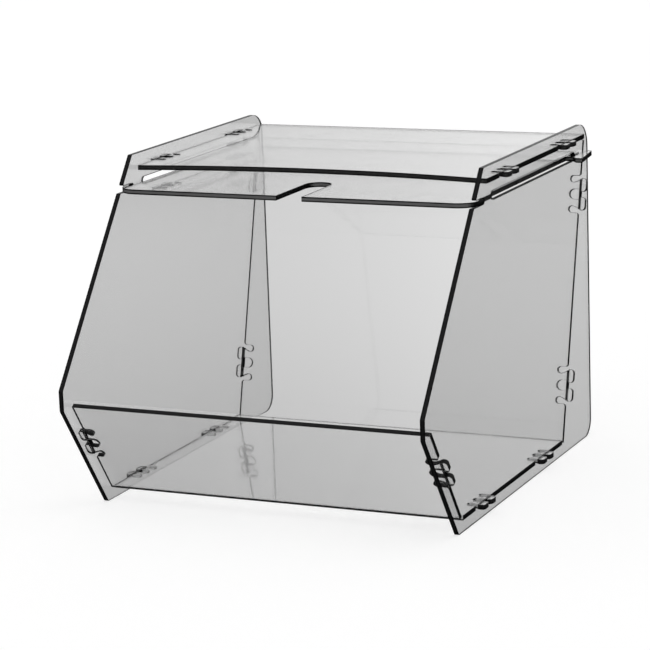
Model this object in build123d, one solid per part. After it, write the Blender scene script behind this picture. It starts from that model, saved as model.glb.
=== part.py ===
"""Candy bin of clear sheet: six snapped panels and a sliding lid with a scoop notch.

Units are millimetres.  +X is the bin's right-hand side, +Y its back and +Z up.  The origin is
the middle of the footprint, on the surface that the bin stands on.  Every panel is one flat
sheet, drawn as an outline in its own plane and then given the sheet's thickness.

Side panels are drawn from their front foot: y runs back from the foot and z runs up.
"""

import os
from math import cos, radians, sin

from build123d import *

# ---------------------------------------------------------------- driving dimensions
SHEET = 3.4  # thickness of every panel, cut from cast sheet of nominal 3 mm
WIDTH = 260.0  # over the outer faces of the side panels
HEIGHT = 229.7  # of the side panels
DEPTH = 317.4  # from the nose to the back edge of the side panels
NOSE_REACH = 52.8  # how far the nose stands ahead of the front foot
NOSE_LOW = 75.9  # underside corner of the nose
NOSE_HIGH = 89.8  # top corner of the nose
BROW_SETBACK = 57.8  # front corner of the top edge, behind the front foot

NOSE_RADIUS = 2.5
FOOT_RADIUS = 2.0
BROW_RADIUS = 1.0
BACK_FOOT_RADIUS = 12.0
BACK_TOP_RADIUS = 17.0

SLOT_LOW = 206.0  # underside of the lid slot and of the mouth notch
SLOT_HIGH = 212.2
SLOT_FRONT = 71.6
SLOT_BACK = 237.0
MOUTH_HIGH = 210.5
MOUTH_BACK = 58.0
MOUTH_RADIUS = 2.0
MOUTH_LIP_RADIUS = 1.0  # corners where the mouth notch opens to the front

FLOOR_MIDDLE = 8.65  # height of the floor's mid-plane
FLOOR_FRONT = 9.6
FLOOR_BACK = 203.1
TOP_MIDDLE = 219.7
TOP_FRONT = 65.3  # front edge at the side panels
TOP_SCALLOP = 12.5  # how far the front edge curves back at the middle
TOP_BACK = 260.2
BACK_LEAN = 14.26  # degrees from vertical, top to the rear
BACK_FOOT = 205.2  # the back panel's mid-plane, at BACK_LOW above the table
BACK_LOW = 8.0
BACK_HIGH = 217.4  # the back panel's top end, clear of the top
LIP_SETBACK = 10.5  # from the side panels' lower front edge to the lip's mid-plane
LIP_LOW = 4.4  # along the lower front edge, from the front foot
LIP_HIGH = 87.2

LID_LOW = 206.2
LID_FRONT = 37.5
LID_BACK = 253.4
LID_HALF = 125.1
LID_CORNER_RADIUS = 1.0
WING_BACK = 56.5
WING_RADIUS = 14.0
SCOOP_NOTCH_WIDTH = 18.5
SCOOP_NOTCH_BACK = 93.5
NECK_FRONT = 231.4  # neck of the ear, where it passes through the slot
NECK_BACK = 234.6
EAR_TIP = 139.0  # outermost reach of the ear, from the middle of the bin
EAR_FRONT = 226.0
EAR_END = 262.6
EAR_FACE_WIDTH = 4.8  # blunt front face of the ear
EAR_END_WIDTH = 4.2
EAR_END_SKEW = 2.6  # how far the outer corner of its end lies ahead of the inner one
EAR_GAP = 0.4  # between the ear and the side panel
EAR_CORNER_RADIUS = 0.6

# Snap joint: two prongs on a panel's edge pass through a slot in the side panel.
PRONG_INNER = 3.6  # from the joint's middle line, at the root
PRONG_OUTER = 8.35
PRONG_SPREAD = 10.2  # outer edge of the prong where it passes through the slot
RELIEF_WIDTH = 4.9  # of the slits that let the prongs bend
RELIEF_DEPTH = 7.3
RELIEF_MOUTH_RADIUS = 1.8
HEAD_INNER = 2.0
HEAD_OUTER = 11.4
HEAD_TIP = 7.3  # from the side panel's inner face
HEAD_RADIUS = 2.4
CATCH_GAP = 0.1  # clearance behind the heads and around the prongs
JOINT_END_GAP = 0.4  # clearance at each end of a joint's slot
FLARE = 4.5  # length of prong that widens towards the side panel

BACK_JOINTS = (40.9, 177.2)  # along the back panel, from its foot
TOP_JOINTS = (103.5, 219.5)
FLOOR_JOINTS = (47.3, 162.0)
LIP_JOINT = 50.5  # along the lip, from the front foot

OVERLAP = 1.0  # how far joined or cut outlines run into each other

# ---------------------------------------------------------------- derived places
OUTER = WIDTH / 2
INNER = OUTER - SHEET
FOOT_Y = -DEPTH / 2 + NOSE_REACH  # y of the front foot in the bin's own frame
BACK_EDGE = DEPTH - NOSE_REACH
JOINT_LENGTH = 2 * (PRONG_SPREAD + JOINT_END_GAP)
JOINT_WIDTH = SHEET + CATCH_GAP
SLOT_MIDDLE = (SLOT_LOW + SLOT_HIGH) / 2
LOWER_FRONT = Vector(-NOSE_REACH, NOSE_LOW)
LIP_LENGTH = LOWER_FRONT.length
LIP_ANGLE = LOWER_FRONT.get_angle(Vector(1, 0))


def flat_sheet(height):
    """Plane of a level sheet: local x is the bin's x, local y runs back from the front foot."""
    return Plane(origin=(0, FOOT_Y, height))


def upright_sheet(back, up, degrees):
    """Plane of a sheet that runs across the bin and rises at an angle.

    Args:
        back: y of the sheet's lower end, behind the front foot.
        up: height of the sheet's lower end.
        degrees: slope of the sheet from level, measured from the +Y direction.
    """
    rise = radians(degrees)
    return Plane(
        origin=(0, FOOT_Y + back, up),
        x_dir=(1, 0, 0),
        z_dir=(0, -sin(rise), cos(rise)),
    )


def side_plane(x):
    """Plane of a side panel: local x runs back from the front foot, local y runs up."""
    return Plane(origin=(x, FOOT_Y, 0), x_dir=(0, 1, 0), z_dir=(1, 0, 0))


def thicken(outline, plane):
    """Give an outline the sheet's thickness, half to each side of its plane."""
    return extrude(plane * outline, amount=SHEET / 2, both=True)


def box_between(x0, x1, y0, y1):
    """Rectangle with two opposite corners at (x0, y0) and (x1, y1)."""
    return Pos((x0 + x1) / 2, (y0 + y1) / 2) * Rectangle(abs(x1 - x0), abs(y1 - y0))


def prong(side, hand):
    """One prong of a snap joint, about a joint at the local origin.

    Args:
        side: +1 at the bin's right-hand edge and -1 at its left-hand edge.
        hand: +1 for the prong on the +y side of the joint and -1 for the other one.
    """
    catch = SHEET + CATCH_GAP
    root = -RELIEF_DEPTH - OVERLAP
    shank = make_face(
        Polyline(
            (root, PRONG_INNER),
            (root, PRONG_OUTER),
            (-FLARE, PRONG_OUTER),
            (0, PRONG_SPREAD),
            (catch + OVERLAP, PRONG_SPREAD),
            (catch + OVERLAP, PRONG_INNER),
            close=True,
        )
    )
    head = box_between(catch, HEAD_TIP, HEAD_INNER, HEAD_OUTER)
    tip_corners = head.vertices().group_by(Axis.X)[-1]
    head = fillet(tip_corners, HEAD_RADIUS)
    shape = shank + head
    if hand < 0:
        shape = mirror(shape, about=Plane.XZ)
    if side < 0:
        shape = mirror(shape, about=Plane.YZ)
    return Pos(side * INNER, 0) * shape


def slit(side, middle, width):
    """Slit into a panel's edge with a round inner end and rounded mouth corners."""
    radius = width / 2
    inner = -RELIEF_DEPTH + radius
    shape = box_between(inner, OVERLAP, middle - radius, middle + radius)
    shape += Pos(inner, middle) * Circle(radius)
    if side < 0:
        shape = mirror(shape, about=Plane.YZ)
    return Pos(side * INNER, 0) * shape


def mouth_rounding(side, hand):
    """Corner that a relief slit's outer lip loses where it meets the panel's edge."""
    radius = RELIEF_MOUTH_RADIUS
    lip = (PRONG_OUTER + RELIEF_WIDTH) * hand
    corner = box_between(-radius, radius, lip, lip + radius * hand)
    corner -= Pos(-radius, lip + radius * hand) * Circle(radius)
    corner &= box_between(-radius, 0, lip, lip + radius * hand)
    if side < 0:
        corner = mirror(corner, about=Plane.YZ)
    return Pos(side * INNER, 0) * corner


def with_snap_joints(outline, stations):
    """Cut the slits and add the prongs of every snap joint of one panel.

    Args:
        outline: the panel's outline, with its side edges on the side panels' inner faces.
        stations: places of the joints' middle lines along the side edges.
    """
    relief_middle = PRONG_OUTER + RELIEF_WIDTH / 2
    for station in stations:
        for side in (1, -1):
            outline -= Pos(0, station) * slit(side, 0, 2 * PRONG_INNER)
            for hand in (1, -1):
                outline -= Pos(0, station) * slit(side, relief_middle * hand, RELIEF_WIDTH)
                outline -= Pos(0, station) * mouth_rounding(side, hand)
            for hand in (1, -1):
                outline += Pos(0, station) * prong(side, hand)
    return outline


def joint_slot(degrees):
    """Opening in a side panel for one snap joint, its long side at an angle from level."""
    return Rot(0, 0, degrees) * Rectangle(JOINT_LENGTH, JOINT_WIDTH)


def along(start, degrees, distance):
    """Point at a distance from a start, at an angle from the +x direction."""
    turn = radians(degrees)
    return (start[0] + distance * cos(turn), start[1] + distance * sin(turn))


BACK_SLOPE = 90 - BACK_LEAN
BACK_LENGTH = (BACK_HIGH - BACK_LOW) / cos(radians(BACK_LEAN))
LIP_FOOT = along((0, 0), LIP_ANGLE - 90, LIP_SETBACK)


def side_panel_outline():
    """Outline of a side panel with its mouth notch, lid slot and joint slots."""
    corners = (
        ((0, 0), FOOT_RADIUS),
        ((BACK_EDGE, 0), BACK_FOOT_RADIUS),
        ((BACK_EDGE, HEIGHT), BACK_TOP_RADIUS),
        ((BROW_SETBACK, HEIGHT), BROW_RADIUS),
        ((-NOSE_REACH, NOSE_HIGH), NOSE_RADIUS),
        ((-NOSE_REACH, NOSE_LOW), NOSE_RADIUS),
    )
    rim = FilletPolyline(
        *[place for place, _ in corners],
        radius=[radius for _, radius in corners],
        close=True,
    )
    outline = make_face(rim)

    mouth = box_between(-NOSE_REACH, MOUTH_BACK, SLOT_LOW, MOUTH_HIGH)
    mouth = fillet(mouth.vertices().group_by(Axis.X)[-1], MOUTH_RADIUS)
    outline -= mouth
    mouth_front = MOUTH_BACK - MOUTH_RADIUS - OVERLAP
    lips = outline.vertices().filter_by_position(Axis.Y, SLOT_LOW, MOUTH_HIGH)
    lips = lips.filter_by_position(Axis.X, -NOSE_REACH, mouth_front)
    outline = fillet(lips, MOUTH_LIP_RADIUS)

    slot_radius = (SLOT_HIGH - SLOT_LOW) / 2
    slot_length = SLOT_BACK - SLOT_FRONT - 2 * slot_radius
    slot_place = Pos((SLOT_FRONT + SLOT_BACK) / 2, SLOT_MIDDLE)
    outline -= slot_place * SlotCenterToCenter(slot_length, 2 * slot_radius)

    openings = [(y, FLOOR_MIDDLE, 0) for y in FLOOR_JOINTS]
    openings += [(y, TOP_MIDDLE, 0) for y in TOP_JOINTS]
    for distance in BACK_JOINTS:
        openings.append((*along((BACK_FOOT, BACK_LOW), BACK_SLOPE, distance), BACK_SLOPE))
    openings.append((*along(LIP_FOOT, LIP_ANGLE, LIP_JOINT), LIP_ANGLE))
    for y, z, degrees in openings:
        outline -= Pos(y, z) * joint_slot(degrees)
    return outline


def side_panel(side):
    """Side panel; side is +1 for the right-hand one and -1 for the left-hand one."""
    return thicken(side_panel_outline(), side_plane(side * (OUTER - SHEET / 2)))


def floor_panel():
    """Level floor, snapped between the side panels a little above the table."""
    outline = box_between(-INNER, INNER, FLOOR_FRONT, FLOOR_BACK)
    return thicken(with_snap_joints(outline, FLOOR_JOINTS), flat_sheet(FLOOR_MIDDLE))


def front_lip():
    """Sloping lip that holds the sweets in, parallel to the side panels' lower front edge."""
    outline = box_between(-INNER, INNER, LIP_LOW, LIP_HIGH)
    plane = upright_sheet(*LIP_FOOT, LIP_ANGLE)
    return thicken(with_snap_joints(outline, (LIP_JOINT,)), plane)


def back_panel():
    """Back panel, leaning with its top to the rear."""
    outline = box_between(-INNER, INNER, 0, BACK_LENGTH)
    plane = upright_sheet(BACK_FOOT, BACK_LOW, BACK_SLOPE)
    return thicken(with_snap_joints(outline, BACK_JOINTS), plane)


def top_panel():
    """Fixed top with a front edge that curves back to leave the lid's notch free."""
    front = ThreePointArc((INNER, TOP_FRONT), (0, TOP_FRONT + TOP_SCALLOP), (-INNER, TOP_FRONT))
    sides = Polyline((-INNER, TOP_FRONT), (-INNER, TOP_BACK), (INNER, TOP_BACK), (INNER, TOP_FRONT))
    outline = make_face(front + sides)
    return thicken(with_snap_joints(outline, TOP_JOINTS), flat_sheet(TOP_MIDDLE))


def ear(side):
    """Ear of the lid: a neck through the slot and a tongue that trails along the panel."""
    near = OUTER + EAR_GAP
    tongue = make_face(
        Polyline(
            (LID_HALF - OVERLAP, NECK_FRONT),
            (near, NECK_FRONT),
            (EAR_TIP - EAR_FACE_WIDTH, EAR_FRONT),
            (EAR_TIP, EAR_FRONT),
            (near + EAR_END_WIDTH, EAR_END - EAR_END_SKEW),
            (near, EAR_END),
            (near, NECK_BACK),
            (LID_HALF - OVERLAP, NECK_BACK),
            close=True,
        )
    )
    outer_corners = tongue.vertices().filter_by_position(Axis.X, near + EAR_GAP, EAR_TIP)
    tongue = fillet(outer_corners, EAR_CORNER_RADIUS)
    if side < 0:
        tongue = mirror(tongue, about=Plane.YZ)
    return tongue


def lid():
    """Sliding lid with front wings for the mouth notches, ears and a scoop notch."""
    body = box_between(-LID_HALF, LID_HALF, WING_BACK - OVERLAP, LID_BACK)
    body = fillet(body.vertices().group_by(Axis.Y)[-1], LID_CORNER_RADIUS)
    wings = box_between(-OUTER, OUTER, LID_FRONT, WING_BACK)
    wings = fillet(wings.vertices().group_by(Axis.Y)[0], WING_RADIUS)
    outline = wings + body + ear(1) + ear(-1)

    radius = SCOOP_NOTCH_WIDTH / 2
    arc_middle = SCOOP_NOTCH_BACK - radius
    outline -= box_between(-radius, radius, LID_FRONT - OVERLAP, arc_middle)
    outline -= Pos(0, arc_middle) * Circle(radius)
    return thicken(outline, flat_sheet(LID_LOW + SHEET / 2))


def main():
    """Write one STEP file per panel."""
    os.makedirs("parts", exist_ok=True)
    nodes = {
        "side_panel_left": side_panel(-1),
        "side_panel_right": side_panel(1),
        "floor_panel": floor_panel(),
        "front_lip": front_lip(),
        "back_panel": back_panel(),
        "top_panel": top_panel(),
        "lid": lid(),
    }
    for name, shape in nodes.items():
        export_step(shape, f"parts/{name}.step")


main()
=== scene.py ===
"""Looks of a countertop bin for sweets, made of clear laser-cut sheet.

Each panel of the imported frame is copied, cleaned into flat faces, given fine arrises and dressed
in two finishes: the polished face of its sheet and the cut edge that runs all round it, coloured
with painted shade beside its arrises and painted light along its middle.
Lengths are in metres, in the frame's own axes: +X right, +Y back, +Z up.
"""

import logging
from dataclasses import dataclass, field
from enum import Enum
from math import cos, radians, sin
from typing import Iterable

import bmesh
import bpy
from mathutils import Matrix, Vector


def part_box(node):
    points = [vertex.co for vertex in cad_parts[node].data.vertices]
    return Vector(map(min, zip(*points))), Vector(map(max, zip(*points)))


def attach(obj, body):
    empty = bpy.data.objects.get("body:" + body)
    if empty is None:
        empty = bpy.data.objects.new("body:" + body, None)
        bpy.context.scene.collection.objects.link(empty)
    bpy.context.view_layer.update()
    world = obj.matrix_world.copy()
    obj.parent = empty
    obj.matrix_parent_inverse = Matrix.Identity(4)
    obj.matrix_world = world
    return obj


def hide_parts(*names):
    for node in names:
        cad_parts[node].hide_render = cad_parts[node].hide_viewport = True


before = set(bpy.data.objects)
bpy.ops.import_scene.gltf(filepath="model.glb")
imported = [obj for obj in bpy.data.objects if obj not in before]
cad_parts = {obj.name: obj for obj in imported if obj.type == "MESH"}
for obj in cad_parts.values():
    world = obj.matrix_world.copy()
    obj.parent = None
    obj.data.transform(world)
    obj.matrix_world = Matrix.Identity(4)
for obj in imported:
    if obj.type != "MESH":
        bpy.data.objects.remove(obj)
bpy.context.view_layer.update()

log = logging.getLogger("candy_bin")

Colour = tuple[float, float, float]
Direction = tuple[float, float, float]
Range = tuple[float, float]
SocketKind = tuple[str, str]
Socket = bpy.types.NodeSocket
Nodes = bpy.types.NodeTree

VECTOR, FLOAT, COLOUR = "NodeSocketVector", "NodeSocketFloat", "NodeSocketColor"
MIX_SHARE, MIX_FIRST, MIX_SECOND, MIX_RESULT = 0, 6, 7, 2  # a Mix node's sockets for colours

SIDE_PANEL_LOW, SIDE_PANEL_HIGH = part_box("side_panel_right")
INNER_HALF = SIDE_PANEL_LOW[0]
SHEET = SIDE_PANEL_HIGH[0] - INNER_HALF
ARRIS = 0.00014  # how far each arris is broken back
ARRIS_STEPS = 2
WELD = 1e-6  # distance within which the frame's loose corners are joined
FLAT_ANGLE = radians(0.4)
CREASE_ANGLE = radians(50)
POLISHED_FACING = 0.999
ACRYLIC_IOR = 1.49


# ---------------------------------------------------------------- finishes


class Layer(Enum):
    """Material slot order on every panel."""

    FACE = 0
    EDGE = 1


@dataclass(frozen=True)
class FaceFinish:
    """Polished face of a clear sheet.

    Attributes:
        tint: colour that light keeps after passing through the sheet once.
        polish: roughness of an untouched face.
        smudge: roughness that finger marks add.
        hairline: height of the fine wiping scratches, in metres.
    """

    tint: Colour
    polish: float = 0.004
    smudge: float = 0.03
    hairline: float = 1.5e-6


@dataclass(frozen=True)
class EdgeFinishAndPaintedLight:
    """Laser-cut edge of a clear sheet: painted shade beside its arrises and painted light in its
    middle.

    Attributes:
        painted_shade_rim: colour beside the arrises, painted shade.
        core: colour along the middle of the edge, painted light.
        painted_glow_side: direction that the edge faces where its middle carries a painted glow.
        glow: colour of the painted glow along the middle there.
        painted_glow_reach: how far to each side of the bin's middle the painted glow reaches, in
            metres.
        core_share: share of the thickness that the painted lighter middle takes.
        core_rise: how far the painted lighter middle lies above the middle of the edge, as a share
            of half the thickness.
        roughness: roughness between the cutting ridges.
        ridge: height of the cutting ridges, in metres.
        gloss: strength of the edge's reflections; 0.5 is that of a polished face.
    """

    # Painted shade beside the arrises, painted light along the middle, and a painted glow where
    # the edge faces the glow side.
    painted_shade_rim: Colour = (0.004, 0.004, 0.0045)
    core: Colour = (0.012, 0.012, 0.0125)
    painted_glow_side: Direction = (0.0, -1.0, 0.0)
    glow: Colour = (0.012, 0.012, 0.0125)
    painted_glow_reach: float = 1.0
    core_share: float = 0.5
    core_rise: float = 0.0
    roughness: float = 0.22
    ridge: float = 6e-6
    gloss: float = 0.08


# ---------------------------------------------------------------- node helpers


def add_node(tree: Nodes, kind: str, label: str = "", **values: object) -> bpy.types.Node:
    """Add a node and set its properties.

    Args:
        tree: node tree that gets the node.
        kind: the node's type, such as "ShaderNodeMix".
        label: words shown on the node.
        values: properties of the node, by name.

    Returns:
        The new node.
    """
    node = tree.nodes.new(kind)
    node.label = label
    for name, value in values.items():
        setattr(node, name, value)
    return node


def feed(tree: Nodes, socket: Socket, value: object) -> None:
    """Link an output to an input, or set the input to a plain value.

    Args:
        tree: node tree that holds both.
        socket: the input.
        value: the output, or the plain value.
    """
    if isinstance(value, bpy.types.NodeSocket):
        tree.links.new(value, socket)
    else:
        socket.default_value = value


def maths(tree: Nodes, operation: str, *values: float | Socket) -> Socket:
    """Add a Math node.

    Args:
        tree: node tree that gets the node.
        operation: the node's operation.
        values: its inputs, each a number or an output.

    Returns:
        The node's output.
    """
    node = add_node(tree, "ShaderNodeMath", operation=operation)
    for socket, value in zip(node.inputs, values):
        feed(tree, socket, value)
    return node.outputs[0]


def blend_colours(tree: Nodes, share: Socket, first: Socket, second: Socket) -> Socket:
    """Mix two colours.

    Args:
        tree: node tree that gets the node.
        share: 0 gives the first colour and 1 the second.
        first: first colour.
        second: second colour.

    Returns:
        The mixed colour.
    """
    node = add_node(tree, "ShaderNodeMix", data_type="RGBA")
    feed(tree, node.inputs[MIX_SHARE], share)
    feed(tree, node.inputs[MIX_FIRST], first)
    feed(tree, node.inputs[MIX_SECOND], second)
    return node.outputs[MIX_RESULT]


def ramp_between(tree: Nodes, value: Socket, low: float, high: float) -> Socket:
    """Add a smooth step.

    Args:
        tree: node tree that gets the node.
        value: what the step follows.
        low: value at which the step is 0.
        high: value at which the step is 1; it may be the smaller of the two.

    Returns:
        The step.
    """
    node = add_node(tree, "ShaderNodeMapRange", interpolation_type="SMOOTHSTEP")
    feed(tree, node.inputs["Value"], value)
    node.inputs["From Min"].default_value = low
    node.inputs["From Max"].default_value = high
    return node.outputs["Result"]


def noise(tree: Nodes, vector: Socket, scale: float, detail: float = 2.0) -> Socket:
    """Add a noise pattern.

    Args:
        tree: node tree that gets the node.
        vector: coordinates that the pattern follows.
        scale: cells of the pattern per unit of the coordinates.
        detail: how many finer layers it has.

    Returns:
        The pattern, between 0 and 1.
    """
    node = add_node(tree, "ShaderNodeTexNoise")
    feed(tree, node.inputs["Vector"], vector)
    node.inputs["Scale"].default_value = scale
    node.inputs["Detail"].default_value = detail
    return node.outputs["Fac"]


def stretched(tree: Nodes, vector: Socket, scale: Vector, turn: float = 0.0) -> Socket:
    """Turn coordinates about local Z and stretch them along each axis.

    Args:
        tree: node tree that gets the node.
        vector: the coordinates.
        scale: size of one unit of the new coordinates along each axis.
        turn: angle that they are turned by.

    Returns:
        The new coordinates.
    """
    node = add_node(tree, "ShaderNodeMapping", vector_type="TEXTURE")
    feed(tree, node.inputs["Vector"], vector)
    node.inputs["Rotation"].default_value = (0.0, 0.0, turn)
    node.inputs["Scale"].default_value = scale
    return node.outputs["Vector"]


def new_group(name: str, inputs: Iterable[SocketKind], outputs: Iterable[SocketKind]) -> Nodes:
    """Make a shader node group with named sockets.

    Args:
        name: the group's name.
        inputs: pairs of a socket's name and type.
        outputs: pairs of a socket's name and type.

    Returns:
        The group's node tree, with its input and output nodes named "in" and "out".
    """
    tree = bpy.data.node_groups.new(name, "ShaderNodeTree")
    for socket_name, kind in inputs:
        tree.interface.new_socket(socket_name, in_out="INPUT", socket_type=kind)
    for socket_name, kind in outputs:
        tree.interface.new_socket(socket_name, in_out="OUTPUT", socket_type=kind)
    tree.nodes.new("NodeGroupInput").name = "in"
    tree.nodes.new("NodeGroupOutput").name = "out"
    return tree


def fill_inputs(node: bpy.types.Node, values: dict[str, object]) -> None:
    """Set inputs of a node to plain values.

    Args:
        node: the node.
        values: its inputs' values by name, where three numbers for a colour are made opaque.
    """
    for name, value in values.items():
        socket = node.inputs[name]
        socket.default_value = (*value, 1.0) if socket.type == "RGBA" else value


def new_material(name: str) -> tuple[bpy.types.Material, Nodes, bpy.types.Node]:
    """Make an empty node material.

    Args:
        name: name of the material.

    Returns:
        The material, its node tree and its output node.
    """
    material = bpy.data.materials.new(name)
    material.use_nodes = True
    material.node_tree.nodes.clear()
    output = material.node_tree.nodes.new("ShaderNodeOutputMaterial")
    return material, material.node_tree, output


class HandlingMarks:
    """Node group of wiping scratches and finger marks on a polished face.

    Attributes:
        HAIRLINE_LENGTH: length of a scratch, in metres.
        HAIRLINE_PITCH: size of the scratches' pattern across them.
        HAIRLINE_CUT: values of the pattern at which a scratch starts and is full.
        DIRECTIONS: angles that the scratches run at.
        SMUDGE_SIZE: size of a finger mark, in metres.
        SMUDGE_CUT: values of the pattern at which a mark starts and is full.
        SMUDGE_GRAIN: how many times finer the pattern is that breaks the marks up.
        GRAIN_CUT: values of the finer pattern at which a mark starts and is full.
    """

    HAIRLINE_LENGTH = 0.035
    HAIRLINE_PITCH = 0.0009
    HAIRLINE_CUT: Range = (0.71, 0.78)
    DIRECTIONS = (radians(12), radians(67), radians(-38))
    SMUDGE_SIZE = 0.045
    SMUDGE_CUT: Range = (0.5, 0.75)
    SMUDGE_GRAIN = 14
    GRAIN_CUT: Range = (0.35, 0.7)

    def __init__(self) -> None:
        """Build the group once."""
        self.tree = new_group(
            "handling_marks",
            (("Vector", VECTOR), ("Polish", FLOAT), ("Smudge", FLOAT), ("Hairline", FLOAT)),
            (("Roughness", FLOAT), ("Height", FLOAT)),
        )
        source, result = self.tree.nodes["in"], self.tree.nodes["out"]
        vector, polish = source.outputs["Vector"], source.outputs["Polish"]
        lines = self.hairlines(vector)
        marks = self.smudges(vector)
        rough = maths(self.tree, "MULTIPLY_ADD", marks, source.outputs["Smudge"], polish)
        feed(self.tree, result.inputs["Roughness"], rough)
        height = maths(self.tree, "MULTIPLY", lines, source.outputs["Hairline"])
        feed(self.tree, result.inputs["Height"], height)

    def hairlines(self, vector: Socket) -> Socket:
        """Draw sparse fine scratches in three directions.

        Args:
            vector: coordinates in which the sheet lies flat.

        Returns:
            Their mask.
        """
        total: float | Socket = 0.0
        stretch = Vector((self.HAIRLINE_LENGTH, self.HAIRLINE_PITCH, 1.0))
        for turn in self.DIRECTIONS:
            pattern = noise(self.tree, stretched(self.tree, vector, stretch, turn), 1.0, 0.0)
            lines = ramp_between(self.tree, pattern, *self.HAIRLINE_CUT)
            total = maths(self.tree, "ADD", total, lines)
        return total

    def smudges(self, vector: Socket) -> Socket:
        """Draw soft finger marks, broken up by a finer pattern.

        Args:
            vector: coordinates in which the sheet lies flat.

        Returns:
            Their mask.
        """
        broad = noise(self.tree, vector, 1 / self.SMUDGE_SIZE)
        broad = ramp_between(self.tree, broad, *self.SMUDGE_CUT)
        fine = noise(self.tree, vector, self.SMUDGE_GRAIN / self.SMUDGE_SIZE)
        fine = ramp_between(self.tree, fine, *self.GRAIN_CUT)
        return maths(self.tree, "MULTIPLY", broad, fine)


class CutEdgeAndPaintedLight:
    """Node group of a laser-cut edge: a middle of painted light, sides of painted shade and fine
    cutting ridges.

    Attributes:
        RIDGE_PITCH: size of the ridges' pattern along the edge, in metres.
        RIDGE_STRETCH: how many times longer the pattern is from face to face.
        RIDGE_ROUGHNESS: roughness that the ridges add.
        CORE_SOFTNESS: half the width over which the painted lighter middle fades, as a share of
            half the thickness.
        DRIFT_SIZE: length over which the width of the painted lighter middle drifts, in metres.
        DRIFT: how far it drifts, as a share of half the thickness.
        GLOW_FACING: cosines of the angle from the glow side at which the painted glow starts and
            is full.
    """

    RIDGE_PITCH = 0.00035
    RIDGE_STRETCH = 40
    RIDGE_ROUGHNESS = 0.12
    CORE_SOFTNESS = 0.18
    DRIFT_SIZE = 0.03
    DRIFT = 0.3
    GLOW_FACING: Range = (0.5, 0.85)

    def __init__(self) -> None:
        """Build the group once."""
        self.tree = new_group(
            "cut_edge_painted_light",
            (
                ("Vector", VECTOR),
                ("Normal", VECTOR),
                ("Rim", COLOUR),
                ("Core", COLOUR),
                ("Glow Side", VECTOR),
                ("Glow", COLOUR),
                ("Glow Reach", FLOAT),
                ("Core Share", FLOAT),
                ("Core Rise", FLOAT),
                ("Roughness", FLOAT),
                ("Ridge", FLOAT),
            ),
            (("Color", COLOUR), ("Roughness", FLOAT), ("Height", FLOAT)),
        )
        source, result = self.tree.nodes["in"], self.tree.nodes["out"]
        vector = source.outputs["Vector"]
        # Painted glow where the edge faces the glow side, mixed into the painted light along the
        # middle, over painted shade beside the arrises.
        glow = self.painted_glow_mask(vector)
        core = blend_colours(self.tree, glow, source.outputs["Core"], source.outputs["Glow"])
        colour = blend_colours(self.tree, self.painted_light_core_mask(vector), source.outputs["Rim"], core)
        feed(self.tree, result.inputs["Color"], colour)
        ridges = self.ridges(vector)
        plain = source.outputs["Roughness"]
        rough = maths(self.tree, "MULTIPLY_ADD", ridges, self.RIDGE_ROUGHNESS, plain)
        feed(self.tree, result.inputs["Roughness"], rough)
        height = maths(self.tree, "MULTIPLY", ridges, source.outputs["Ridge"])
        feed(self.tree, result.inputs["Height"], height)

    def painted_glow_mask(self, vector: Socket) -> Socket:
        """Find where the painted glow goes: the edge faces that look towards the glow side, within
        its reach.

        Args:
            vector: coordinates in which the sheet lies flat.

        Returns:
            Their mask.
        """
        source = self.tree.nodes["in"]
        dot = add_node(self.tree, "ShaderNodeVectorMath", operation="DOT_PRODUCT")
        feed(self.tree, dot.inputs[0], source.outputs["Normal"])
        feed(self.tree, dot.inputs[1], source.outputs["Glow Side"])
        facing = ramp_between(self.tree, dot.outputs["Value"], *self.GLOW_FACING)
        parts = add_node(self.tree, "ShaderNodeSeparateXYZ")
        feed(self.tree, parts.inputs[0], vector)
        across = maths(self.tree, "ABSOLUTE", parts.outputs["X"])
        within = maths(self.tree, "LESS_THAN", across, source.outputs["Glow Reach"])
        return maths(self.tree, "MULTIPLY", facing, within)

    def painted_light_core_mask(self, vector: Socket) -> Socket:
        """Find the middle of the edge, where light is painted, with a slow drift in its width.

        Args:
            vector: coordinates in which the sheet lies flat.

        Returns:
            Its mask.
        """
        parts = add_node(self.tree, "ShaderNodeSeparateXYZ")
        feed(self.tree, parts.inputs[0], vector)
        source = self.tree.nodes["in"]
        across = maths(self.tree, "DIVIDE", parts.outputs["Z"], SHEET / 2)
        across = maths(self.tree, "SUBTRACT", across, source.outputs["Core Rise"])
        across = maths(self.tree, "ABSOLUTE", across)
        drift = maths(self.tree, "SUBTRACT", noise(self.tree, vector, 1 / self.DRIFT_SIZE), 0.5)
        across = maths(self.tree, "MULTIPLY_ADD", drift, self.DRIFT, across)
        outside = maths(self.tree, "SUBTRACT", across, source.outputs["Core Share"])
        outside = ramp_between(self.tree, outside, -self.CORE_SOFTNESS, self.CORE_SOFTNESS)
        return maths(self.tree, "SUBTRACT", 1.0, outside)

    def ridges(self, vector: Socket) -> Socket:
        """Fine ridges that run across the edge, from face to face of the sheet."""
        stretch = self.RIDGE_PITCH * Vector((1.0, 1.0, self.RIDGE_STRETCH))
        return noise(self.tree, stretched(self.tree, vector, stretch), 1.0, 1.0)


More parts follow.
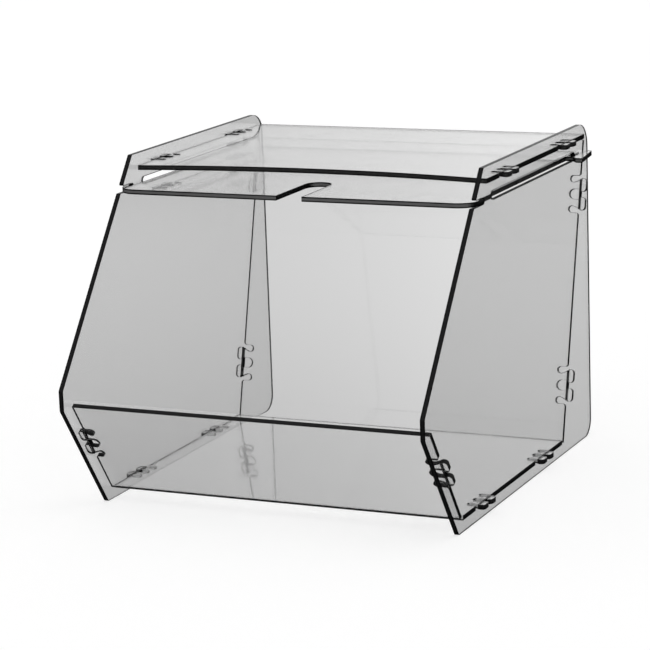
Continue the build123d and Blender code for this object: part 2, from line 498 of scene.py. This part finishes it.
@dataclass
class Finishes:
    """The shared node groups, and the materials made from them."""

    marks: HandlingMarks = field(default_factory=HandlingMarks)
    edges: CutEdgeAndPaintedLight = field(default_factory=CutEdgeAndPaintedLight)

    def sheet_vector(self, tree: Nodes, plane: Matrix) -> Socket:
        """Turn Object coordinates so that local Z crosses the sheet from its middle.

        Args:
            tree: the material's node tree.
            plane: matrix that turns the panel's sheet flat, with its middle at zero.

        Returns:
            The turned coordinates.
        """
        place = add_node(tree, "ShaderNodeTexCoord")
        turn = add_node(tree, "ShaderNodeMapping", "sheet plane", vector_type="POINT")
        feed(tree, turn.inputs["Vector"], place.outputs["Object"])
        turn.inputs["Rotation"].default_value = plane.to_euler()
        turn.inputs["Location"].default_value = plane.to_translation()
        return turn.outputs["Vector"]

    def bump(self, tree: Nodes, height: Socket) -> Socket:
        """Make a normal from a height.

        Args:
            tree: the material's node tree.
            height: height of the surface, in metres.

        Returns:
            The normal.
        """
        node = add_node(tree, "ShaderNodeBump")
        node.inputs["Distance"].default_value = 1.0
        feed(tree, node.inputs["Height"], height)
        return node.outputs["Normal"]

    def face(self, name: str, plane: Matrix, finish: FaceFinish) -> bpy.types.Material:
        """Material of a polished face, which lets lamps shine through the sheet.

        Args:
            name: name of the panel that wears it.
            plane: matrix that turns the panel's sheet flat, with its middle at zero.
            finish: the values of the face.

        Returns:
            The material.
        """
        material, tree, output = new_material(f"{name}_face")
        marks = add_node(tree, "ShaderNodeGroup", "handling marks", node_tree=self.marks.tree)
        feed(tree, marks.inputs["Vector"], self.sheet_vector(tree, plane))
        fill_inputs(
            marks, {"Polish": finish.polish, "Smudge": finish.smudge, "Hairline": finish.hairline}
        )

        sheet = add_node(tree, "ShaderNodeBsdfPrincipled", "clear sheet")
        fill_inputs(
            sheet, {"Base Color": finish.tint, "Transmission Weight": 1.0, "IOR": ACRYLIC_IOR}
        )
        feed(tree, sheet.inputs["Roughness"], marks.outputs["Roughness"])
        feed(tree, sheet.inputs["Normal"], self.bump(tree, marks.outputs["Height"]))

        lamp_side = add_node(tree, "ShaderNodeBsdfTransparent", "light for what is behind")
        fill_inputs(lamp_side, {"Color": tuple(part**0.5 for part in finish.tint)})
        rays = add_node(tree, "ShaderNodeLightPath")
        choice = add_node(tree, "ShaderNodeMixShader")
        feed(tree, choice.inputs[0], rays.outputs["Is Shadow Ray"])
        feed(tree, choice.inputs[1], sheet.outputs[0])
        feed(tree, choice.inputs[2], lamp_side.outputs[0])
        feed(tree, output.inputs["Surface"], choice.outputs[0])
        return material

    def edge(self, name: str, plane: Matrix, finish: EdgeFinishAndPaintedLight) -> bpy.types.Material:
        """Material of a cut edge, whose base colour holds painted shade and painted light.

        Args:
            name: name of the panel that wears it.
            plane: matrix that turns the panel's sheet flat, with its middle at zero.
            finish: the values of the edge.

        Returns:
            The material.
        """
        material, tree, output = new_material(f"{name}_edge")
        cut = add_node(tree, "ShaderNodeGroup", "cut edge", node_tree=self.edges.tree)
        feed(tree, cut.inputs["Vector"], self.sheet_vector(tree, plane))
        surface = add_node(tree, "ShaderNodeNewGeometry")
        feed(tree, cut.inputs["Normal"], surface.outputs["True Normal"])
        fill_inputs(
            cut,
            {
                "Rim": finish.painted_shade_rim,
                "Core": finish.core,
                "Glow Side": finish.painted_glow_side,
                "Glow": finish.glow,
                "Glow Reach": finish.painted_glow_reach,
                "Core Share": finish.core_share,
                "Core Rise": finish.core_rise,
                "Roughness": finish.roughness,
                "Ridge": finish.ridge,
            },
        )

        body = add_node(tree, "ShaderNodeBsdfPrincipled", "cut edge")
        fill_inputs(body, {"IOR": ACRYLIC_IOR, "Specular IOR Level": finish.gloss})
        # Base colour: painted shade beside the arrises, painted light along the middle and a
        # painted glow.
        feed(tree, body.inputs["Base Color"], cut.outputs["Color"])
        feed(tree, body.inputs["Roughness"], cut.outputs["Roughness"])
        feed(tree, body.inputs["Normal"], self.bump(tree, cut.outputs["Height"]))
        feed(tree, output.inputs["Surface"], body.outputs[0])
        return material


# ---------------------------------------------------------------- panels


@dataclass
class Panel:
    """One flat panel of sheet.

    Attributes:
        node: name of the frame's node that it stands for.
        body: name of the body that carries it.
        slot: the record's material slot; not used.
        face: finish of its polished faces.
        edge: finish of its cut edges, with their painted shade and painted light.
    """

    node: str
    body: str
    slot: str
    face: FaceFinish
    edge: EdgeFinishAndPaintedLight

    def build(self, finishes: Finishes) -> bpy.types.Object:
        """Make the panel's mesh, dress it and put it in the node's place.

        Args:
            finishes: where the panel's materials are made.

        Returns:
            The panel's piece.
        """
        shape = bmesh.new()
        shape.from_mesh(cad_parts[self.node].data)
        bmesh.ops.remove_doubles(shape, verts=shape.verts, dist=WELD)
        bmesh.ops.dissolve_limit(
            shape,
            angle_limit=FLAT_ANGLE,
            use_dissolve_boundaries=False,
            verts=shape.verts,
            edges=shape.edges,
            delimit={"NORMAL"},
        )
        normal, middle = self.sheet_plane(shape)
        self.round_arrises(shape, normal)
        self.paint_layers(shape, normal)

        mesh = bpy.data.meshes.new(f"{self.node}_sheet")
        shape.to_mesh(mesh)
        shape.free()
        mesh.attributes.remove(mesh.attributes["custom_normal"])
        piece = bpy.data.objects.new(f"{self.node}_sheet", mesh)
        bpy.context.scene.collection.objects.link(piece)

        plane = self.flattening(normal, middle)
        mesh.materials.append(finishes.face(self.node, plane, self.face))
        mesh.materials.append(finishes.edge(self.node, plane, self.edge))
        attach(piece, self.body)
        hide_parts(self.node)
        log.info("%s: %d faces", piece.name, len(mesh.polygons))
        return piece

    def sheet_plane(self, shape: bmesh.types.BMesh) -> tuple[Vector, float]:
        """Find how the sheet lies.

        Args:
            shape: the panel's mesh, with flat faces.

        Returns:
            The direction across the sheet, and how far its mid-plane lies along that direction.
        """
        largest = max(shape.faces, key=lambda face: face.calc_area())
        normal = largest.normal.copy()
        if normal.z < 0:
            normal.negate()
        reach = [vert.co.dot(normal) for vert in shape.verts]
        return normal, (min(reach) + max(reach)) / 2

    def flattening(self, normal: Vector, middle: float) -> Matrix:
        """Matrix that turns the sheet level, with its mid-plane at local height zero."""
        turn = normal.rotation_difference(Vector((0, 0, 1))).to_matrix().to_4x4()
        return Matrix.Translation((0, 0, -middle)) @ turn

    def is_polished(self, face: bmesh.types.BMFace, normal: Vector) -> bool:
        """Whether a face is one of the sheet's two polished faces."""
        return abs(face.normal.dot(normal)) > POLISHED_FACING

    def round_arrises(self, shape: bmesh.types.BMesh, normal: Vector) -> None:
        """Break the sharp line between each polished face and the cut edge.

        Args:
            shape: the panel's mesh.
            normal: direction across the sheet.
        """

        def on_arris(edge: bmesh.types.BMEdge) -> bool:
            """Whether an edge has one polished face beside it and one cut face."""
            return len({self.is_polished(face, normal) for face in edge.link_faces}) == 2

        bmesh.ops.bevel(
            shape,
            geom=[edge for edge in shape.edges if on_arris(edge)],
            offset=ARRIS,
            offset_type="OFFSET",
            segments=ARRIS_STEPS,
            profile=0.5,
            affect="EDGES",
            clamp_overlap=True,
            material=-1,
        )

    def paint_layers(self, shape: bmesh.types.BMesh, normal: Vector) -> None:
        """Give each face its material slot, and smooth the cut edge between its corners.

        Args:
            shape: the panel's mesh.
            normal: direction across the sheet.
        """
        for face in shape.faces:
            polished = self.is_polished(face, normal)
            face.material_index = Layer.FACE.value if polished else Layer.EDGE.value
            face.smooth = not polished
        for edge in shape.edges:
            edge.smooth = edge.calc_face_angle() < CREASE_ANGLE


@dataclass
class FixedPanels:
    """The six panels that snap together into the bin's body."""

    body: str = "bin"
    side_face: FaceFinish = FaceFinish(tint=(0.975, 0.975, 0.975))
    panel_face: FaceFinish = FaceFinish(tint=(0.95, 0.95, 0.95))
    # Plain edges: painted shade beside the arrises and a slightly lighter painted middle.
    side_edge: EdgeFinishAndPaintedLight = EdgeFinishAndPaintedLight()
    back_edge: EdgeFinishAndPaintedLight = EdgeFinishAndPaintedLight()
    # Painted glow, nearly white, on the lip's edge faces that look back and down.
    lip_edge: EdgeFinishAndPaintedLight = EdgeFinishAndPaintedLight(
        painted_glow_side=(0.0, 0.571, -0.821), glow=(0.9, 0.9, 0.9), core_share=1.2
    )
    # A faint painted glow along the top panel's front-facing edges.
    top_edge: EdgeFinishAndPaintedLight = EdgeFinishAndPaintedLight(glow=(0.03, 0.03, 0.03))
    # Painted glow, nearly white, along the raised middle of the floor panel's front-facing edges,
    # between the side panels.
    floor_edge: EdgeFinishAndPaintedLight = EdgeFinishAndPaintedLight(
        glow=(0.95, 0.95, 0.95), painted_glow_reach=INNER_HALF, core_share=0.85, core_rise=0.45
    )

    def panels(self) -> list[Panel]:
        """List every fixed panel, with its finishes.

        Returns:
            The panels, side panels first.
        """
        sides = [
            Panel(f"side_panel_{hand}", self.body, "side_sheet", self.side_face, self.side_edge)
            for hand in ("left", "right")
        ]
        edges = {
            "front_lip": self.lip_edge,
            "back_panel": self.back_edge,
            "top_panel": self.top_edge,
            "floor_panel": self.floor_edge,
        }
        inner = [
            Panel(node, self.body, "panel_sheet", self.panel_face, edge)
            for node, edge in edges.items()
        ]
        return [*sides, *inner]


@dataclass
class SlidingLid:
    """The lid, which slides forward in the side panels' slots."""

    body: str = "lid"
    face: FaceFinish = FaceFinish(tint=(0.95, 0.95, 0.95), smudge=0.05, hairline=2.5e-6)
    # Painted highlight: a grey glow along the middle of the lid's front-facing edges, over painted
    # shade elsewhere.
    edge: EdgeFinishAndPaintedLight = EdgeFinishAndPaintedLight(
        core=(0.005, 0.005, 0.005), glow=(0.15, 0.15, 0.15), gloss=0.04
    )

    def panels(self) -> list[Panel]:
        """The lid's one panel."""
        return [Panel("lid", self.body, "lid_sheet", self.face, self.edge)]


# ---------------------------------------------------------------- studio


def towards(azimuth: float, height: float) -> Vector:
    """Direction from the bin, turned from its front towards its right and raised by angles."""
    return Vector((sin(azimuth) * cos(height), -cos(azimuth) * cos(height), sin(height)))


@dataclass
class Camera:
    """Camera that looks down on the bin from its front right.

    Attributes:
        place: where it stands.
        azimuth: side that it stands on, turned from the front towards the right.
        elevation: how steeply it looks down.
        roll: how far it is turned about its line of sight.
        sensor: width of its sensor, in millimetres.
        lens: focal length, in millimetres.
        far: distance at which it stops seeing.
    """

    place: Vector = field(default_factory=lambda: Vector((0.73469, -1.61819, 0.50501)))
    azimuth: float = radians(24.663)
    elevation: float = radians(12.593)
    roll: float = radians(-2.029)
    sensor: float = 36.0
    lens: float = 146.26
    far: float = 60.0

    def build(self) -> None:
        """Make the camera and hand it to the scene."""
        ahead = -towards(self.azimuth, self.elevation)
        right = Vector((cos(self.azimuth), sin(self.azimuth), 0.0))
        up = right.cross(ahead)
        across = cos(self.roll) * right + sin(self.roll) * up
        above = cos(self.roll) * up - sin(self.roll) * right
        turn = Matrix((across, above, -ahead)).transposed().to_4x4()
        data = bpy.data.cameras.new("camera")
        data.sensor_width = self.sensor
        data.lens = self.lens
        data.clip_end = self.far
        camera = bpy.data.objects.new("camera", data)
        camera.matrix_world = Matrix.Translation(self.place) @ turn
        bpy.context.scene.collection.objects.link(camera)
        bpy.context.scene.camera = camera


@dataclass(frozen=True)
class Fade:
    """Change of the backdrop's brightness over a range of directions.

    Attributes:
        gain: how much brighter it gets in full; below zero it darkens.
        across: sideways part of the directions at which it starts and is full, if that counts.
        up: upward part of the directions at which it starts and is full, if that counts.
    """

    gain: float
    across: Range | None = None
    up: Range | None = None


@dataclass
class Studio:
    """Pale floor, soft light and a plain white backdrop.

    The sheets show a backdrop that falls off towards the left and downwards, and they mirror a
    dim room below the horizon, so that their cut edges stay dark behind them.

    Attributes:
        floor_reach: half the width of the floor, in metres.
        floor_tone: colour of the floor's paper.
        floor_lit: brightness that the lamp and the room give to the floor.
        room_tone: brightness of the room that lights the bin.
        sheet_low: brightness of the backdrop in the sheets, down at the left.
        sheet_fades: its changes from left to right, towards the horizon, across the horizon and
            up at the left.
        mirror_tone: brightness of the room below the horizon in the sheets' reflections.
        mirror_range: upward part of the directions between which the room gets that dim.
        key_azimuth: side that the lamp shines from, turned from the front towards the right.
        key_height: height of the lamp above the horizon.
        key_spread: width of the lamp as the bin sees it.
        key_strength: strength of the lamp.
        bounces: how many times light may turn inside the sheets.
    """

    DEPTH_SLACK = 0.5  # a ray's depth is a whole number

    floor_reach: float = 12.0
    floor_tone: float = 0.5
    floor_lit: float = 0.37
    room_tone: float = 0.62
    sheet_low: float = 0.448
    sheet_fades: tuple[Fade, ...] = (
        Fade(0.24, across=(-0.45, -0.25)),
        Fade(0.21, up=(-0.33, -0.18)),
        Fade(0.07, up=(-0.1, 0.1)),
        Fade(-0.1, across=(-0.42, -0.46), up=(-0.18, -0.14)),
    )
    mirror_tone: float = 0.02
    mirror_range: Range = (0.0, -0.1)
    key_azimuth: float = radians(55)
    key_height: float = radians(58)
    key_spread: float = radians(50)
    key_strength: float = 0.5
    bounces: int = 20

    def build(self) -> None:
        """Make the floor, the world and the lamp."""
        self.floor()
        self.world()
        self.key_lamp()
        self.light_paths()
        bpy.context.scene.view_settings.view_transform = "Standard"

    def sheet_rays(self, tree: Nodes, rays: bpy.types.Node) -> Socket:
        """Mask of the rays that arrive by way of a glossy or clear surface."""
        glossy, clear = rays.outputs["Is Glossy Ray"], rays.outputs["Is Transmission Ray"]
        return maths(tree, "MAXIMUM", glossy, clear)

    def floor(self) -> None:
        """Level floor that shows as the white backdrop, with the bin's shadow on it."""
        shape = bmesh.new()
        bmesh.ops.create_grid(shape, x_segments=1, y_segments=1, size=self.floor_reach)
        mesh = bpy.data.meshes.new("floor")
        shape.to_mesh(mesh)
        shape.free()
        ground = bpy.data.objects.new("floor", mesh)
        bpy.context.scene.collection.objects.link(ground)
        material, tree, output = new_material("floor_paper")
        paper = add_node(tree, "ShaderNodeBsdfDiffuse")
        fill_inputs(paper, {"Color": (self.floor_tone,) * 3})
        rays = add_node(tree, "ShaderNodeLightPath")
        glow = add_node(tree, "ShaderNodeEmission")
        lift = maths(tree, "MULTIPLY", rays.outputs["Is Camera Ray"], 1.0 - self.floor_lit)
        feed(tree, glow.inputs["Strength"], lift)
        white = add_node(tree, "ShaderNodeAddShader")
        feed(tree, white.inputs[0], paper.outputs[0])
        feed(tree, white.inputs[1], glow.outputs[0])
        backdrop = add_node(tree, "ShaderNodeBsdfTransparent", "the sheets show the backdrop")
        choice = add_node(tree, "ShaderNodeMixShader")
        feed(tree, choice.inputs[0], self.sheet_rays(tree, rays))
        feed(tree, choice.inputs[1], white.outputs[0])
        feed(tree, choice.inputs[2], backdrop.outputs[0])
        feed(tree, output.inputs["Surface"], choice.outputs[0])
        mesh.materials.append(material)

    def world(self) -> None:
        """White backdrop for the camera, its falling tone in the sheets and an even room light."""
        world = bpy.data.worlds.new("studio")
        bpy.context.scene.world = world
        world.use_nodes = True
        tree = world.node_tree
        tree.nodes.clear()
        rays = add_node(tree, "ShaderNodeLightPath")
        by_sheet = self.sheet_rays(tree, rays)
        lift = maths(tree, "SUBTRACT", self.sheet_tone(tree, rays), self.room_tone)
        tone = maths(tree, "MULTIPLY_ADD", by_sheet, lift, self.room_tone)
        by_camera = rays.outputs["Is Camera Ray"]
        tone = maths(tree, "MULTIPLY_ADD", by_camera, 1.0 - self.room_tone, tone)
        light = add_node(tree, "ShaderNodeBackground")
        feed(tree, light.inputs["Color"], tone)
        output = add_node(tree, "ShaderNodeOutputWorld")
        feed(tree, output.inputs["Surface"], light.outputs[0])

    def sheet_tone(self, tree: Nodes, rays: bpy.types.Node) -> Socket:
        """Brightness of the backdrop in the sheets, by the direction that they show.

        Args:
            tree: the world's node tree.
            rays: its Light Path node.

        Returns:
            The brightness, with the dim room in its place for rays that a sheet mirrored once
            and that go below the horizon.
        """
        place = add_node(tree, "ShaderNodeTexCoord")
        ahead = add_node(tree, "ShaderNodeSeparateXYZ")
        feed(tree, ahead.inputs[0], place.outputs["Generated"])
        tone: float | Socket = self.sheet_low
        for fade in self.sheet_fades:
            share: float | Socket = 1.0
            for axis, reach in (("X", fade.across), ("Z", fade.up)):
                if reach:
                    step = ramp_between(tree, ahead.outputs[axis], *reach)
                    share = maths(tree, "MULTIPLY", share, step)
            tone = maths(tree, "MULTIPLY_ADD", share, fade.gain, tone)
        once = maths(tree, "COMPARE", rays.outputs["Glossy Depth"], 1.0, self.DEPTH_SLACK)
        below = ramp_between(tree, ahead.outputs["Z"], *self.mirror_range)
        dim = maths(tree, "MULTIPLY", once, below)
        drop = maths(tree, "SUBTRACT", self.mirror_tone, tone)
        return maths(tree, "MULTIPLY_ADD", dim, drop, tone)

    def key_lamp(self) -> None:
        """Wide soft lamp from the right, high above the bin."""
        data = bpy.data.lights.new("key", "SUN")
        data.angle = self.key_spread
        data.energy = self.key_strength
        lamp = bpy.data.objects.new("key", data)
        source = towards(self.key_azimuth, self.key_height)
        lamp.matrix_world = source.to_track_quat("Z", "Y").to_matrix().to_4x4()
        bpy.context.scene.collection.objects.link(lamp)

    def light_paths(self) -> None:
        """Let light cross every sheet of the bin before it is given up."""
        cycles = bpy.context.scene.cycles
        cycles.max_bounces = self.bounces
        cycles.transmission_bounces = self.bounces
        cycles.glossy_bounces = self.bounces
        cycles.transparent_max_bounces = 2 * self.bounces


def main() -> None:
    """Build the bin and the studio round it."""
    logging.basicConfig(level=logging.INFO, format="%(message)s")
    Camera().build()
    finishes = Finishes()
    for assembly in (FixedPanels(), SlidingLid()):
        for panel in assembly.panels():
            panel.build(finishes)
    Studio().build()


if __name__ == "__main__":
    main()
